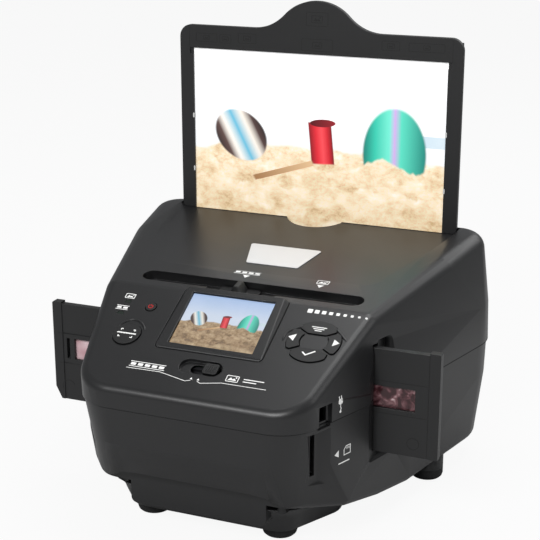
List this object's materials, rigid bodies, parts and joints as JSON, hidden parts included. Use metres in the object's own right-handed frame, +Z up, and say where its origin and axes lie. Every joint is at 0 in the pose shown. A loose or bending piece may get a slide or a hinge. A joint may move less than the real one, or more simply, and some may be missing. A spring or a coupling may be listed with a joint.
{
  "type": "film negative scanner",
  "caption": "Desktop scanner with a sloped screen and key panel, a film holder that slides through its sides and an upright photo tray in a slot at its back.",
  "frame": {"origin": "under the middle of the body, on the plane that its feet stand on", "axes": "+X to the right of a person facing the screen, +Y to the back, +Z up"},
  "size_m": [0.2487, 0.221, 0.2854],
  "materials": {
    "housing_abs": "fine moulded grain, satin",
    "foot_rubber": "matt",
    "badge_white": "printed foil, blank",
    "screen_frame_abs": "satin",
    "screen_glass": "clear",
    "screen_lcd": "lit picture",
    "light_lens": "smoked",
    "circuit_board": "solder mask",
    "component_black": "moulded",
    "inner_abs": "moulded",
    "steel": "plated",
    "lens_barrel_black": "matt black",
    "optical_glass": "coated",
    "lamp_white": "diffusing",
    "tray_abs": "fine moulded grain",
    "photo_paper": null,
    "holder_abs": "fine moulded grain",
    "film_base": "tinted film",
    "key_black": "satin"
  },
  "bodies": {
    "housing": {"upper_housing": "housing_abs", "lower_housing": "housing_abs", "case_screws": "steel", "foot_front_left": "foot_rubber", "foot_front_right": "foot_rubber", "foot_back_left": "foot_rubber", "foot_back_right": "foot_rubber", "blank_badge": "badge_white", "screen_frame": "screen_frame_abs", "screen_glass": "screen_glass", "screen_module": "screen_lcd", "status_lights": "light_lens", "key_board": "circuit_board", "key_switches": "component_black", "mode_switch_case": "component_black", "optical_bed": "inner_abs", "bed_screws": "steel", "main_board": "circuit_board", "board_chips": "component_black", "side_board": "circuit_board", "usb_socket": "steel", "card_socket": "steel", "camera_bracket": "inner_abs", "sensor_board": "circuit_board", "lens_barrel": "lens_barrel_black", "lens_glass": "optical_glass", "film_guide": "inner_abs", "rod_bracket_left": "inner_abs", "rod_bracket_right": "inner_abs", "guide_rods": "steel", "lamp_brackets": "inner_abs", "lamp_strips": "lamp_white", "tray_guide_left": "inner_abs", "tray_guide_right": "inner_abs"},
    "photo_tray": {"tray_frame": "tray_abs", "tray_back": "tray_abs", "photo_print": "photo_paper"},
    "film_holder": {"holder_base": "holder_abs", "holder_cover": "holder_abs", "holder_pins": "steel", "film_strip": "film_base"},
    "selector": {"backlight_carriage": "inner_abs", "backlight_board": "lamp_white", "backlight_diffuser": "lamp_white", "selector_lever": "key_black"},
    "mode_switch": {"mode_slider": "key_black"},
    "scan_key": {"scan_button": "key_black"},
    "power_key": {"power_button": "key_black"},
    "mode_key": {"mode_button": "key_black"},
    "enter_key": {"enter_button": "key_black"},
    "left_key": {"left_button": "key_black"},
    "right_key": {"right_button": "key_black"}
  },
  "joints": [
    {"name": "tray_slide", "type": "slide", "parent": "housing", "child": "photo_tray", "axis": [0, 0, 1], "range_m": [-0.1, 0.015]},
    {"name": "holder_slide", "type": "slide", "parent": "housing", "child": "film_holder", "axis": [1, 0, 0], "range_m": [-0.0925, 0.0925]},
    {"name": "selector_slide", "type": "slide", "parent": "housing", "child": "selector", "axis": [1, 0, 0], "range_m": [0, 0.0477]},
    {"name": "switch_slide", "type": "slide", "parent": "housing", "child": "mode_switch", "axis": [1, 0, 0], "range_m": [-0.0042, 0]},
    {"name": "scan_press", "type": "slide", "parent": "housing", "child": "scan_key", "axis": [0, 0.4424, -0.8968], "range_m": [0, 0.0007], "stiffness_N_per_m": 900, "springref_m": -0.0004},
    {"name": "power_press", "type": "slide", "parent": "housing", "child": "power_key", "axis": [0, 0.4424, -0.8968], "range_m": [0, 0.0007], "stiffness_N_per_m": 900, "springref_m": -0.0004},
    {"name": "mode_press", "type": "slide", "parent": "housing", "child": "mode_key", "axis": [0, 0.4424, -0.8968], "range_m": [0, 0.0007], "stiffness_N_per_m": 900, "springref_m": -0.0004},
    {"name": "enter_press", "type": "slide", "parent": "housing", "child": "enter_key", "axis": [0, 0.4424, -0.8968], "range_m": [0, 0.0007], "stiffness_N_per_m": 900, "springref_m": -0.0004},
    {"name": "left_press", "type": "slide", "parent": "housing", "child": "left_key", "axis": [0, 0.4424, -0.8968], "range_m": [0, 0.0007], "stiffness_N_per_m": 900, "springref_m": -0.0004},
    {"name": "right_press", "type": "slide", "parent": "housing", "child": "right_key", "axis": [0, 0.4424, -0.8968], "range_m": [0, 0.0007], "stiffness_N_per_m": 900, "springref_m": -0.0004}
  ]
}
